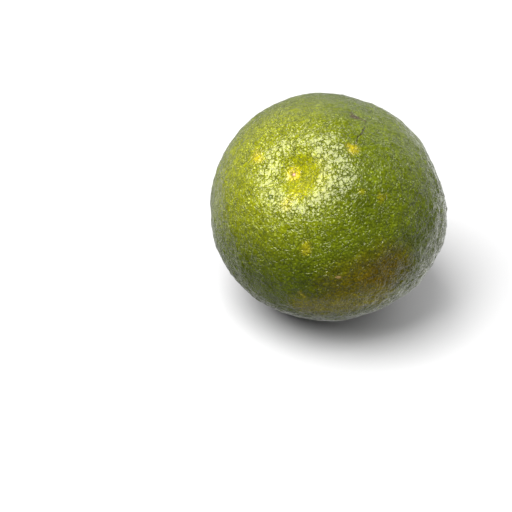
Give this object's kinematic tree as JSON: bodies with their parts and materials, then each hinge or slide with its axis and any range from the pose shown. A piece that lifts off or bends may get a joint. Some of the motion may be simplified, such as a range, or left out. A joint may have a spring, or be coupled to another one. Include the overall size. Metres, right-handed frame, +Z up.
{
  "type": "mandarin orange",
  "caption": "Whole green-skinned mandarin orange lying on its side, blossom end tipped up to the front left, with a small star-shaped stem button low at the back.",
  "frame": {"origin": "middle of the fruit's underside, on the surface that it lies on", "axes": "+X to the right along the fruit's greatest width, +Y to the back, +Z up; the blossom end points up and to the front left, the stem end down and to the back right"},
  "size_m": [0.068, 0.0666, 0.0634],
  "materials": {
    "peel": "waxy green citrus peel, satin",
    "button": "dry calyx and cut stem, matt"
  },
  "bodies": {
    "root": {"fruit": "peel", "stem_button": "button"}
  },
  "joints": []
}
